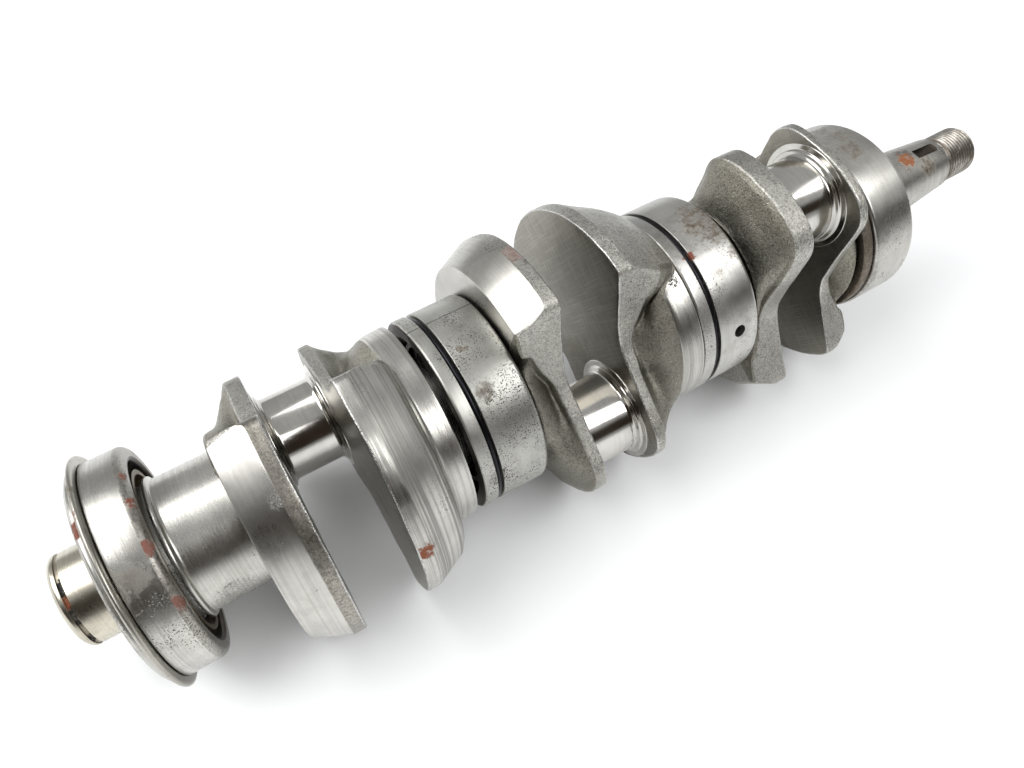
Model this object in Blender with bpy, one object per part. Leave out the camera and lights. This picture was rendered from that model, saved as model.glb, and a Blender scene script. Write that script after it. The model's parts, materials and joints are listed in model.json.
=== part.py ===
"""Three-throw two-stroke crankshaft with its main bearings still fitted.

Frame: +X along the crank axis towards the flywheel end, +Z up, origin on the
axis at the drive end's face.  Metres.  The forging is one solid; every bearing
ring, cage, ball, roller and clip is its own solid.
"""
import math

import bmesh
import bpy
from mathutils import Matrix, Vector

MM = 0.001
GAP = 0.3 * MM                      # clearance left between neighbouring pieces
SEGMENTS = 36                       # facets round a turned surface
ROLLER_SEGMENTS = 12
OVERLAP = 2.0 * MM                  # how far joined shapes reach into each other

# Throws ---------------------------------------------------------------------
PITCH = 91.6 * MM                   # cylinder pitch
FIRST_PIN = 82.8 * MM               # middle of the crankpin nearest the drive end
THROW = 28.0 * MM                   # crank radius, half of the 56 mm stroke
THROW_ANGLES = (342.0, 222.0, 102.0)# degrees from +Y towards +Z, drive end first
PIN_RADIUS = 15.5 * MM
PIN_SHOULDER_RADIUS = 18.0 * MM
PIN_SHOULDER = 1.5 * MM
PIN_GAP = 21.6 * MM                 # distance between the two webs of a throw

# Webs: a plate with a tongue that carries the pin, and a counterweight --------
WEIGHT_RADIUS = 50.0 * MM
WEIGHT_HALF_ANGLE = 66.0            # degrees
WEIGHT_THICKNESS = 16.0 * MM
LAST_WEIGHT_THICKNESS = 10.5 * MM   # the web beside the flywheel end bearing
WEIGHT_LAND = 4.0 * MM              # full radius near the pin, then a cone
WEIGHT_CONE_DROP = 5.5 * MM         # how much the cone loses by the outer face
WEIGHT_EDGE = 0.6 * MM
TONGUE_RADIUS = 48.8 * MM
TONGUE_HALF_WIDTH = 24.5 * MM
TONGUE_CORNER_ANGLE = 22.0          # degrees either side of the pin
NECK = 4.0 * MM                     # how far the weight reaches up inside the tongue
NECK_INSET = 2.0 * MM
TONGUE_TIP_THICKNESS = 4.6 * MM
TONGUE_STEP = 1.0 * MM              # tongue's root stands this far below the weight
HUB_RADIUS = 28.0 * MM
HUB_LENGTH = 15.2 * MM              # boss round a journal, from the web's pin side
FIRST_HUB_LENGTH = 18.0 * MM        # the same on the web beside the drive end

# Main journals, and the disc turned beside throws 1 and 2 ---------------------
MAIN_RADIUS = 21.0 * MM
DISC_RADIUS = 35.0 * MM
DISC_EDGE = 29.5 * MM               # from the pin's middle to the disc's near edge
DISC_FACE = 37.0 * MM               # from the pin's middle to the disc's far face
FLANK_RADIUS = 40.0 * MM

# Centre main bearings ---------------------------------------------------------
RACE_RADIUS = 35.0 * MM
RACE_BORE_RADIUS = 30.0 * MM
RACE_WIDTH = 23.8 * MM
RACE_CENTRES = (135.0 * MM, 223.7 * MM)
RACE_CHAMFER = 0.8 * MM
CLIP_GROOVE_OFFSET = 4.7 * MM       # from the race's drive-side edge
CLIP_GROOVE_WIDTH = 2.2 * MM
CLIP_GROOVE_DEPTH = 2.4 * MM
CLIP_GAP_ANGLE = 8.0                # degrees left open in a retaining ring
DOWEL_RADIUS = 2.3 * MM
DOWEL_OFFSET = 15.2 * MM            # from the race's drive-side edge
DOWEL_ANGLE = -50.0                 # from the split, before the race is turned
RACE_TURNS = (72.0, 212.0)          # how each race happens to be turned on its rollers
CENTRE_ROLLERS = 10
CENTRE_ROLLER_LENGTH = 14.0 * MM

# Lower (drive end) ball bearing -----------------------------------------------
LOWER_LEFT = 16.0 * MM
LOWER_RIGHT = 33.0 * MM
LOWER_OUTER_RADIUS = 36.0 * MM
LOWER_OUTER_BORE = 31.0 * MM
LOWER_INNER_RADIUS = 22.6 * MM
LOWER_BORE_RADIUS = 17.5 * MM
FLANGE_RADIUS = 39.0 * MM
FLANGE_LEFT = 18.4 * MM
FLANGE_WIDTH = 2.0 * MM
FLANGE_SEAT = 34.3 * MM             # floor of the groove the flange ring sits in
BALLS = 9
BALL_RADIUS = 5.55 * MM

# Upper (flywheel end) roller bearing --------------------------------------------
UPPER_LEFT = 292.8 * MM
UPPER_RIGHT = 311.8 * MM
UPPER_OUTER_RADIUS = 35.0 * MM
UPPER_BORE_RADIUS = 30.0 * MM
SEAL_RING_RADIUS = 33.8 * MM
SEAL_RING_WIDTH = 4.4 * MM
UPPER_ROLLERS = 11
UPPER_ROLLER_LENGTH = 13.0 * MM

# Cages --------------------------------------------------------------------------
CAGE_WALL = 1.6 * MM
CAGE_RIM = 1.8 * MM

# Shaft ends ---------------------------------------------------------------------
STUB_END = 0.0 * MM
STUB_RADIUS = 15.0 * MM
STUB_CHAMFER = 1.2 * MM
STUB_GROOVE = 2.6 * MM
STUB_GROOVE_WIDTH = 1.0 * MM
LOWER_JOURNAL_RADIUS = 22.8 * MM
UPPER_JOURNAL_RADIUS = 21.0 * MM
COLLAR_RADIUS = 15.4 * MM
COLLAR_END = 325.4 * MM
TAPER_START_RADIUS = 14.3 * MM
TAPER_END_RADIUS = 10.7 * MM
TAPER_END = 362.4 * MM
THREAD_RADIUS = 10.0 * MM
THREAD_RELIEF = 2.0 * MM
SHAFT_END = 380.1 * MM
KEYWAY_ANGLE = 96.0
KEYWAY_WIDTH = 4.8 * MM
KEYWAY_LENGTH = 22.0 * MM
KEYWAY_CENTRE = 354.4 * MM
KEYWAY_DEPTH = 3.4 * MM

STEEL = (0.56, 0.56, 0.55, 1.0)
FORGED = (0.33, 0.32, 0.31, 1.0)
BLACKED = (0.03, 0.03, 0.035, 1.0)
BRONZE = (0.45, 0.33, 0.16, 1.0)


def clear_scene():
    for obj in list(bpy.data.objects):
        bpy.data.objects.remove(obj, do_unlink=True)


def make_material(name, color, roughness, metallic=1.0):
    material = bpy.data.materials.new(name)
    material.use_nodes = True
    shader = material.node_tree.nodes["Principled BSDF"]
    shader.inputs["Base Color"].default_value = color
    shader.inputs["Roughness"].default_value = roughness
    shader.inputs["Metallic"].default_value = metallic
    material.diffuse_color = color
    return material


def polar(radius, degrees):
    """Y and Z of a point at a radius and an angle from +Y towards +Z."""
    angle = math.radians(degrees)
    return radius * math.cos(angle), radius * math.sin(angle)


def mesh_object(name, bm, origin=(0.0, 0.0, 0.0)):
    """Turn a bmesh in world space into an object whose origin is given."""
    bmesh.ops.recalc_face_normals(bm, faces=bm.faces)
    bmesh.ops.translate(bm, verts=bm.verts, vec=-Vector(origin))
    mesh = bpy.data.meshes.new(name)
    bm.to_mesh(mesh)
    bm.free()
    obj = bpy.data.objects.new(name, mesh)
    obj.location = origin
    bpy.context.scene.collection.objects.link(obj)
    return obj


def turned(name, profile, segments=SEGMENTS, axis=(0.0, 0.0), start=0.0, sweep=360.0):
    """Revolve a closed (x, radius) outline about a line along X through axis.

    Points at radius zero are shared.  A sweep under 360 degrees gets end caps.
    """
    bm = bmesh.new()
    closed = sweep >= 360.0
    steps = segments if closed else segments + 1
    centres = {}
    rings = []
    for step in range(steps):
        angle = start + sweep * step / segments
        ring = []
        for index, (x, radius) in enumerate(profile):
            if radius <= 0.0:
                if index not in centres:
                    centres[index] = bm.verts.new((x, axis[0], axis[1]))
                ring.append(centres[index])
            else:
                y, z = polar(radius, angle)
                ring.append(bm.verts.new((x, axis[0] + y, axis[1] + z)))
        rings.append(ring)
    pairs = zip(rings, rings[1:] + rings[:1]) if closed else zip(rings, rings[1:])
    for first, second in pairs:
        for index in range(len(profile)):
            after = (index + 1) % len(profile)
            corners = [first[index], first[after], second[after], second[index]]
            corners = list(dict.fromkeys(corners))
            if len(corners) > 2:
                bm.faces.new(corners)
    if not closed:
        bm.faces.new(rings[0])
        bm.faces.new(rings[-1])
    return mesh_object(name, bm, (0.0, axis[0], axis[1]))


def loft(name, rings):
    """Close a row of matching rings of points into a capped solid."""
    bm = bmesh.new()
    loops = [[bm.verts.new(point) for point in ring] for ring in rings]
    for first, second in zip(loops, loops[1:]):
        for index in range(len(first)):
            after = (index + 1) % len(first)
            bm.faces.new((first[index], first[after], second[after], second[index]))
    bm.faces.new(loops[0])
    bm.faces.new(loops[-1])
    bmesh.ops.triangulate(bm, faces=bm.faces)
    return mesh_object(name, bm)


def combine(target, tools, operation):
    """Apply one exact Boolean of all the tools to target and remove the tools."""
    group = bpy.data.collections.new("tools")
    for tool in tools:
        group.objects.link(tool)
    modifier = target.modifiers.new("cut", "BOOLEAN")
    modifier.operation = operation
    modifier.solver = "EXACT"
    modifier.operand_type = "COLLECTION"
    modifier.collection = group
    graph = bpy.context.evaluated_depsgraph_get()
    mesh = bpy.data.meshes.new_from_object(target.evaluated_get(graph))
    mesh.name = target.name
    target.modifiers.clear()
    target.data = mesh
    for tool in tools:
        bpy.data.objects.remove(tool, do_unlink=True)
    bpy.data.collections.remove(group)
    return target


def clean(obj):
    """Dissolve the slivers and coplanar splits that a Boolean leaves."""
    bm = bmesh.new()
    bm.from_mesh(obj.data)
    bmesh.ops.remove_doubles(bm, verts=bm.verts, dist=0.02 * MM)
    bmesh.ops.dissolve_degenerate(bm, edges=bm.edges, dist=0.02 * MM)
    bmesh.ops.dissolve_limit(bm, verts=bm.verts, edges=bm.edges, angle_limit=math.radians(0.2))
    bmesh.ops.triangulate(bm, faces=bm.faces)
    bm.to_mesh(obj.data)
    bm.free()
    return obj


def finish(obj, material):
    obj.data.materials.clear()
    obj.data.materials.append(material)
    obj.data.shade_smooth()
    obj.data.set_sharp_from_angle(angle=math.radians(35.0))
    return obj


# Crankshaft forging ---------------------------------------------------------------

def tongue(inner, side, thickness, angle):
    """Tapered tongue that carries the pin; its root lies inside the weight."""
    taper = (thickness - TONGUE_STEP - TONGUE_TIP_THICKNESS) / (TONGUE_RADIUS + NECK)
    corner = TONGUE_CORNER_ANGLE
    tip = [polar(TONGUE_RADIUS, corner * step / 2.0) for step in (-2, -1, 0, 1, 2)]
    shoulder = (TONGUE_RADIUS * math.cos(math.radians(corner)) - 8.0 * MM, TONGUE_HALF_WIDTH)
    root = (-NECK, TONGUE_HALF_WIDTH)
    upper = [shoulder, root]
    outline = tip + upper + [(u, -v) for u, v in reversed(upper)]
    turn = Matrix.Rotation(math.radians(angle), 4, "X")
    near = [turn @ Vector((inner, u, v)) for u, v in outline]
    far = []
    for u, v in outline:
        depth = TONGUE_TIP_THICKNESS + taper * (TONGUE_RADIUS - u)
        far.append(turn @ Vector((inner + side * depth, u, v)))
    return loft("tongue", [near, far])


def weight_outline(radius):
    """Outline of the counterweight: an arc, and shoulders that run to the neck."""
    start = 180.0 - WEIGHT_HALF_ANGLE
    steps = 14
    arc = [polar(radius, start + 2.0 * WEIGHT_HALF_ANGLE * i / steps) for i in range(steps + 1)]
    top = TONGUE_HALF_WIDTH - NECK_INSET
    return arc + [(NECK, -top), (NECK, top)]


def weight(inner, side, thickness, angle):
    """Counterweight: a narrow land at full radius, then a cone to its outer face."""
    turn = Matrix.Rotation(math.radians(angle), 4, "X")
    drop = WEIGHT_CONE_DROP * (thickness - WEIGHT_LAND) / (WEIGHT_THICKNESS - WEIGHT_LAND)
    sections = (
        (inner, WEIGHT_RADIUS - WEIGHT_EDGE),
        (inner + side * WEIGHT_EDGE, WEIGHT_RADIUS),
        (inner + side * WEIGHT_LAND, WEIGHT_RADIUS),
        (inner + side * thickness, WEIGHT_RADIUS - drop),
    )
    rings = [[turn @ Vector((x, u, v)) for u, v in weight_outline(radius)] for x, radius in sections]
    return loft("weight", rings)


def web_parts(pin_x, angle, side, disc, thickness, hub_length):
    """Solids that make one web; side is -1 on the drive side of its pin, else 1."""
    inner = pin_x + side * PIN_GAP / 2.0
    start = inner + side * OVERLAP
    if disc:
        edge = pin_x + side * DISC_EDGE
        face = pin_x + side * DISC_FACE
        profile = [(start, 0.0), (start, FLANK_RADIUS - 6.0 * MM), (inner + side * 9.0 * MM, FLANK_RADIUS),
                   (edge, DISC_RADIUS), (face - side * 0.6 * MM, DISC_RADIUS),
                   (face, DISC_RADIUS - 0.6 * MM), (face, 0.0)]
    else:
        end = inner + side * hub_length
        profile = [(start, 0.0), (start, HUB_RADIUS), (end - side * 3.5 * MM, HUB_RADIUS - 1.0 * MM),
                   (end, LOWER_JOURNAL_RADIUS + 1.0 * MM), (end, 0.0)]
    return [tongue(inner, side, thickness, angle), weight(inner, side, thickness, angle),
            turned("hub", profile)]


def pin(pin_x, angle):
    """Crankpin with a narrow shoulder against each web."""
    inner = PIN_GAP / 2.0
    buried = inner + 1.3 * OVERLAP
    ledge = inner - PIN_SHOULDER
    profile = [(pin_x - buried, 0.0), (pin_x - buried, PIN_SHOULDER_RADIUS),
               (pin_x - ledge, PIN_SHOULDER_RADIUS), (pin_x - ledge, PIN_RADIUS),
               (pin_x + ledge, PIN_RADIUS), (pin_x + ledge, PIN_SHOULDER_RADIUS),
               (pin_x + buried, PIN_SHOULDER_RADIUS), (pin_x + buried, 0.0)]
    return turned("pin", profile, segments=32, axis=polar(THROW, angle))


def drive_end():
    """Stub, ball bearing seat and the journal up to the first web."""
    web = FIRST_PIN - PIN_GAP / 2.0 - FIRST_HUB_LENGTH
    groove = STUB_RADIUS - 0.6 * MM
    profile = [(STUB_END, 0.0), (STUB_END, STUB_RADIUS - STUB_CHAMFER),
               (STUB_END + STUB_CHAMFER, STUB_RADIUS), (STUB_GROOVE, STUB_RADIUS),
               (STUB_GROOVE, groove), (STUB_GROOVE + STUB_GROOVE_WIDTH, groove),
               (STUB_GROOVE + STUB_GROOVE_WIDTH, STUB_RADIUS), (LOWER_LEFT, STUB_RADIUS),
               (LOWER_LEFT + 0.8 * MM, LOWER_BORE_RADIUS - GAP),
               (LOWER_RIGHT + GAP, LOWER_BORE_RADIUS - GAP),
               (LOWER_RIGHT + GAP, LOWER_JOURNAL_RADIUS), (web + OVERLAP, LOWER_JOURNAL_RADIUS),
               (web + OVERLAP, 0.0)]
    return turned("drive_end", profile)


def flywheel_end():
    """Upper journal, collar, taper and threaded end."""
    web = FIRST_PIN + 2.0 * PITCH + PIN_GAP / 2.0 + 1.4 * OVERLAP
    profile = [(web, 0.0), (web, UPPER_JOURNAL_RADIUS), (UPPER_RIGHT + 1.5 * MM, UPPER_JOURNAL_RADIUS),
               (UPPER_RIGHT + 1.5 * MM, COLLAR_RADIUS), (COLLAR_END, COLLAR_RADIUS),
               (COLLAR_END + 1.0 * MM, TAPER_START_RADIUS), (TAPER_END, TAPER_END_RADIUS),
               (TAPER_END, THREAD_RADIUS - 1.0 * MM), (TAPER_END + THREAD_RELIEF, THREAD_RADIUS - 1.0 * MM),
               (TAPER_END + THREAD_RELIEF, THREAD_RADIUS), (SHAFT_END - 1.0 * MM, THREAD_RADIUS),
               (SHAFT_END, THREAD_RADIUS - 1.0 * MM), (SHAFT_END, 0.0)]
    return turned("flywheel_end", profile)


def main_journal(pin_x):
    """Journal between a disc and the next throw's web."""
    start = pin_x + DISC_FACE - OVERLAP
    end = pin_x + PITCH - PIN_GAP / 2.0 - 1.5 * OVERLAP
    profile = [(start, 0.0), (start, MAIN_RADIUS), (end, MAIN_RADIUS), (end, 0.0)]
    return turned("main_journal", profile)


def keyway_cutter():
    """Slot for a Woodruff key, cut into the taper."""
    y, z = polar(TAPER_START_RADIUS - 2.0 * MM, 0.0)
    bm = bmesh.new()
    bmesh.ops.create_cone(bm, cap_ends=True, segments=24, radius1=KEYWAY_LENGTH / 2.0,
                          radius2=KEYWAY_LENGTH / 2.0, depth=KEYWAY_WIDTH)
    lift = Matrix.Translation((KEYWAY_CENTRE, y - KEYWAY_DEPTH + KEYWAY_LENGTH / 2.0, z))
    bmesh.ops.transform(bm, matrix=Matrix.Rotation(math.radians(KEYWAY_ANGLE), 4, "X") @ lift,
                        verts=bm.verts)
    return mesh_object("keyway", bm)


def build_crankshaft(material):
    solids = [flywheel_end()]
    for index, angle in enumerate(THROW_ANGLES):
        pin_x = FIRST_PIN + index * PITCH
        first = index == 0
        last = index == 2
        hub = FIRST_HUB_LENGTH if first else HUB_LENGTH
        outer = LAST_WEIGHT_THICKNESS if last else WEIGHT_THICKNESS
        last_hub = LAST_WEIGHT_THICKNESS - 0.5 * MM
        solids += web_parts(pin_x, angle, -1.0, False, WEIGHT_THICKNESS, hub)
        solids += web_parts(pin_x, angle, 1.0, not last, outer, last_hub)
        solids.append(pin(pin_x, angle))
        if not last:
            solids.append(main_journal(pin_x))
    shaft = combine(drive_end(), solids, "UNION")
    shaft = combine(shaft, [keyway_cutter()], "DIFFERENCE")
    shaft.name = "crankshaft"
    return finish(clean(shaft), material)


# Bearings ----------------------------------------------------------------------------

def ring(name, left, right, bore, radius, chamfer, material):
    """Plain ring with chamfered outer edges."""
    profile = [(left, bore), (left, radius - chamfer), (left + chamfer, radius),
               (right - chamfer, radius), (right, radius - chamfer), (right, bore)]
    return finish(turned(name, profile), material)


def lower_bearing(steel, bronze, blacked):
    """Single-row ball bearing with a locating ring round its outer race."""
    middle = (LOWER_LEFT + LOWER_RIGHT) / 2.0
    race = (LOWER_INNER_RADIUS + LOWER_OUTER_BORE) / 2.0
    reach = BALL_RADIUS + GAP
    chamfer = 1.2 * MM
    groove_end = FLANGE_LEFT + FLANGE_WIDTH + GAP

    def track(radius, outward):
        """Arc of the ball groove, from the drive side to the flywheel side."""
        depth = radius - race if outward else race - radius
        half = math.acos(depth / reach)
        points = []
        for step in range(5):
            angle = -half + 2.0 * half * step / 4.0
            rise = reach * math.cos(angle)
            points.append((middle + reach * math.sin(angle), race + rise if outward else race - rise))
        return points

    outer_profile = [(LOWER_LEFT, LOWER_OUTER_BORE), (LOWER_LEFT, LOWER_OUTER_RADIUS - 1.0 * MM),
                     (LOWER_LEFT + 0.8 * MM, LOWER_OUTER_RADIUS), (FLANGE_LEFT - GAP, LOWER_OUTER_RADIUS),
                     (FLANGE_LEFT - GAP, FLANGE_SEAT), (groove_end, FLANGE_SEAT),
                     (groove_end, LOWER_OUTER_RADIUS), (LOWER_RIGHT - chamfer, LOWER_OUTER_RADIUS),
                     (LOWER_RIGHT, LOWER_OUTER_RADIUS - chamfer), (LOWER_RIGHT, LOWER_OUTER_BORE)]
    outer = turned("lower_outer_race", outer_profile + track(LOWER_OUTER_BORE, True)[::-1])
    finish(outer, steel)
    inner_profile = [(LOWER_LEFT, LOWER_BORE_RADIUS), (LOWER_LEFT, LOWER_INNER_RADIUS)]
    inner_profile += track(LOWER_INNER_RADIUS, False)
    inner_profile += [(LOWER_RIGHT, LOWER_INNER_RADIUS), (LOWER_RIGHT, LOWER_BORE_RADIUS)]
    finish(turned("lower_inner_race", inner_profile), steel)
    ring("lower_locating_ring", FLANGE_LEFT, FLANGE_LEFT + FLANGE_WIDTH,
         FLANGE_SEAT + GAP, FLANGE_RADIUS, 0.4 * MM, blacked)
    ball_cage(middle, race, bronze)
    for index in range(BALLS):
        y, z = polar(race, 360.0 * index / BALLS)
        bm = bmesh.new()
        bmesh.ops.create_uvsphere(bm, u_segments=12, v_segments=8, radius=BALL_RADIUS)
        bmesh.ops.translate(bm, verts=bm.verts, vec=(middle, y, z))
        finish(mesh_object(f"lower_ball_{index + 1}", bm, (middle, y, z)), steel)


def ball_cage(middle, race, material):
    """Ribbon ring with a round pocket for each ball."""
    half_width = BALL_RADIUS + CAGE_RIM + 0.4 * MM
    wall = CAGE_WALL / 2.0
    profile = [(middle - half_width, race - wall), (middle - half_width, race + wall),
               (middle + half_width, race + wall), (middle + half_width, race - wall)]
    cage = turned("lower_cage", profile, segments=45)
    pockets = []
    for index in range(BALLS):
        bm = bmesh.new()
        radius = BALL_RADIUS + GAP
        bmesh.ops.create_cone(bm, cap_ends=True, segments=12, radius1=radius, radius2=radius,
                              depth=12.0 * MM)
        place = Matrix.Rotation(math.radians(360.0 * index / BALLS), 4, "X")
        stand = Matrix.Translation((middle, race, 0.0)) @ Matrix.Rotation(math.radians(90.0), 4, "X")
        bmesh.ops.transform(bm, matrix=place @ stand, verts=bm.verts)
        pockets.append(mesh_object("pocket", bm))
    combine(cage, pockets, "DIFFERENCE")
    finish(clean(cage), material)


def roller_size(bore, journal):
    """Radius of a roller, and of the circle its centres lie on."""
    return (bore - journal) / 2.0 - GAP, (bore + journal) / 2.0


def rollers(prefix, count, centre, length, bore, journal, material):
    radius, circle = roller_size(bore, journal)
    half = length / 2.0
    profile = [(centre - half, 0.0), (centre - half, radius), (centre + half, radius), (centre + half, 0.0)]
    for index in range(count):
        axis = polar(circle, 360.0 * (index + 0.5) / count)
        name = f"{prefix}_roller_{index + 1}"
        finish(turned(name, profile, segments=ROLLER_SEGMENTS, axis=axis), material)


def roller_pockets(count, centre, length, bore, journal):
    radius, circle = roller_size(bore, journal)
    half = length / 2.0 + GAP
    reach = radius + GAP
    pockets = []
    for index in range(count):
        profile = [(centre - half, 0.0), (centre - half, reach), (centre + half, reach), (centre + half, 0.0)]
        axis = polar(circle, 360.0 * (index + 0.5) / count)
        pockets.append(turned("pocket", profile, segments=ROLLER_SEGMENTS, axis=axis))
    return pockets


def cage_profile(centre, length, bore, journal):
    circle = roller_size(bore, journal)[1]
    half = length / 2.0 + GAP + CAGE_RIM
    wall = CAGE_WALL / 2.0
    return [(centre - half, circle - wall), (centre - half, circle + wall),
            (centre + half, circle + wall), (centre + half, circle - wall)]


def centre_bearing(number, centre, turn, steel, bronze, blacked):
    """Split race held by a wire ring, with a split cage of rollers inside."""
    left = centre - RACE_WIDTH / 2.0
    right = centre + RACE_WIDTH / 2.0
    groove_left = left + CLIP_GROOVE_OFFSET
    groove_right = groove_left + CLIP_GROOVE_WIDTH
    floor = RACE_RADIUS - CLIP_GROOVE_DEPTH
    profile = [(left, RACE_BORE_RADIUS), (left, RACE_RADIUS - RACE_CHAMFER),
               (left + RACE_CHAMFER, RACE_RADIUS), (groove_left, RACE_RADIUS), (groove_left, floor),
               (groove_right, floor), (groove_right, RACE_RADIUS), (right - RACE_CHAMFER, RACE_RADIUS),
               (right, RACE_RADIUS - RACE_CHAMFER), (right, RACE_BORE_RADIUS)]
    split = math.degrees(GAP / 2.0 / RACE_BORE_RADIUS)
    prefix = f"centre_{number}"
    dowel = dowel_cutter(left + DOWEL_OFFSET, turn + DOWEL_ANGLE)
    for half, start in (("a", turn), ("b", turn + 180.0)):
        race = turned(f"{prefix}_race_half_{half}", profile, segments=SEGMENTS // 2,
                      start=start + split, sweep=180.0 - 2.0 * split)
        if half == "b":
            combine(race, [dowel], "DIFFERENCE")
            clean(race)
        finish(race, steel)
        cage = turned(f"{prefix}_cage_half_{half}",
                      cage_profile(centre, CENTRE_ROLLER_LENGTH, RACE_BORE_RADIUS, MAIN_RADIUS),
                      segments=SEGMENTS // 2, start=start + split, sweep=180.0 - 2.0 * split)
        combine(cage, roller_pockets(CENTRE_ROLLERS, centre, CENTRE_ROLLER_LENGTH,
                                     RACE_BORE_RADIUS, MAIN_RADIUS), "DIFFERENCE")
        finish(clean(cage), bronze)
    clip = [(groove_left + GAP, floor + GAP), (groove_left + GAP, RACE_RADIUS - 0.7 * MM),
            (groove_right - GAP, RACE_RADIUS - 0.7 * MM), (groove_right - GAP, floor + GAP)]
    finish(turned(f"{prefix}_retaining_ring", clip, start=turn + 60.0 + CLIP_GAP_ANGLE / 2.0,
                  sweep=360.0 - CLIP_GAP_ANGLE), blacked)
    rollers(prefix, CENTRE_ROLLERS, centre, CENTRE_ROLLER_LENGTH, RACE_BORE_RADIUS, MAIN_RADIUS, steel)


def dowel_cutter(x, angle):
    """Radial drill for the locating dowel, through one race half."""
    bm = bmesh.new()
    depth = 12.0 * MM
    bmesh.ops.create_cone(bm, cap_ends=True, segments=16, radius1=DOWEL_RADIUS,
                          radius2=DOWEL_RADIUS, depth=depth)
    stand = Matrix.Translation((x, RACE_RADIUS, 0.0)) @ Matrix.Rotation(math.radians(90.0), 4, "X")
    bmesh.ops.transform(bm, matrix=Matrix.Rotation(math.radians(angle), 4, "X") @ stand,
                        verts=bm.verts)
    return mesh_object("dowel_hole", bm)


def upper_bearing(steel, bronze, blacked):
    """Caged roller bearing at the flywheel end, with a seal ring beside the web."""
    centre = (UPPER_LEFT + UPPER_RIGHT) / 2.0
    ring("upper_outer_race", UPPER_LEFT, UPPER_RIGHT, UPPER_BORE_RADIUS, UPPER_OUTER_RADIUS,
         0.8 * MM, steel)
    seal_right = UPPER_LEFT - GAP
    ring("upper_seal_ring", seal_right - SEAL_RING_WIDTH, seal_right,
         UPPER_JOURNAL_RADIUS + GAP, SEAL_RING_RADIUS, 0.4 * MM, blacked)
    cage = turned("upper_cage", cage_profile(centre, UPPER_ROLLER_LENGTH, UPPER_BORE_RADIUS,
                                             UPPER_JOURNAL_RADIUS))
    combine(cage, roller_pockets(UPPER_ROLLERS, centre, UPPER_ROLLER_LENGTH,
                                 UPPER_BORE_RADIUS, UPPER_JOURNAL_RADIUS), "DIFFERENCE")
    finish(clean(cage), bronze)
    rollers("upper", UPPER_ROLLERS, centre, UPPER_ROLLER_LENGTH, UPPER_BORE_RADIUS,
            UPPER_JOURNAL_RADIUS, steel)


def main():
    clear_scene()
    steel = make_material("machined_steel", STEEL, 0.28)
    forged = make_material("forged_steel", FORGED, 0.5)
    blacked = make_material("blacked_spring_steel", BLACKED, 0.4)
    bronze = make_material("cage_bronze", BRONZE, 0.45)
    build_crankshaft(forged)
    lower_bearing(steel, bronze, blacked)
    for number, (centre, turn) in enumerate(zip(RACE_CENTRES, RACE_TURNS), start=1):
        centre_bearing(number, centre, turn, steel, bronze, blacked)
    upper_bearing(steel, bronze, blacked)


main()
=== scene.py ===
"""Looks for the three-throw crankshaft with its main bearings.

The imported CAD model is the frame. The forging and every ring, ball and roller get a finer
visible mesh on the same body; the cages keep their CAD mesh.

Lengths are millimetres. X runs along the crank axis from the drive stub's end face, radii are
from the axis, and angles are degrees round it from +Y towards +Z, unless a comment says
otherwise.
"""
import json
import math

import bmesh
import bpy
import numpy as np
from mathutils import Matrix, Vector, noise


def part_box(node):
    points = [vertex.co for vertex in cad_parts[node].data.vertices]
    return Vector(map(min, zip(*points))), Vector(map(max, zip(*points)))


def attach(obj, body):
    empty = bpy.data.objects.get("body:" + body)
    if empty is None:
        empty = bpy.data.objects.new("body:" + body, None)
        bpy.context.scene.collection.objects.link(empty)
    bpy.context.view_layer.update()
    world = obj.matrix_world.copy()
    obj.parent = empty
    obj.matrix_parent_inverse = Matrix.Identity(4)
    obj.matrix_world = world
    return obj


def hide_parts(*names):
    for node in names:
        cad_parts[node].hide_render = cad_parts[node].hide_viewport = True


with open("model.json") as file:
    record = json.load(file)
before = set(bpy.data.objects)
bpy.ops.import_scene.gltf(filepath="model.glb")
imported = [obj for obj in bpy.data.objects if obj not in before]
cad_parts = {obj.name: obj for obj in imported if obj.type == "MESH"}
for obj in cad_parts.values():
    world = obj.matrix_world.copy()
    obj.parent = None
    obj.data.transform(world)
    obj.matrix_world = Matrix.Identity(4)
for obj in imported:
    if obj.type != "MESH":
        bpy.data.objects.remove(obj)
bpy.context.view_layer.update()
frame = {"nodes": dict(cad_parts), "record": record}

MM = 0.001

NOISE_SEED = 5
noise.seed_set(NOISE_SEED)          # without it, noise vectors differ from run to run

# --- The forging, in the CAD's own dimensions ---
PINS = (82.8, 174.4, 266.0)         # middle of each crankpin along X
PITCH = 91.6                        # from one crankpin to the next
THROW_ANGLES = (342.0, 222.0, 102.0)
THROW = 28.0
PIN_GAP = 21.6                      # between the two webs of a throw
PIN_RADIUS = 15.5
MAIN_RADIUS = 21.0
LOWER_JOURNAL = 22.8
STUB_RADIUS = 15.0
DISC_RADIUS = 35.1
DISC_DEPTH = 26.2                   # depths are measured from the web's cheek
DISC_FACE = 36.5                    # outer face of a disc, from the middle of its crankpin
WEIGHT_RADIUS = 50.0
WEIGHT_DEPTH = 16.0
LAST_DEPTH = 10.5
LAND = 4.5                          # width of the cylindrical land round a counterweight
CONE_FOOT = 44.5
TONGUE_RADIUS = 48.8
TONGUE_HALF_WIDTH = 24.5
SHOULDER_ANGLE = 114.0              # where the counterweight starts, from the crankpin


# --- Mesh tools ---

def node_body(node):
    """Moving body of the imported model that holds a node."""
    for body, members in frame["record"]["behaviour"]["bodies"].items():
        if node in members:
            return body
    raise ValueError(node)


def node_span(node):
    """Where a node starts and ends along X."""
    low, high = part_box(node)
    return low[0] / MM, high[0] / MM


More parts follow.
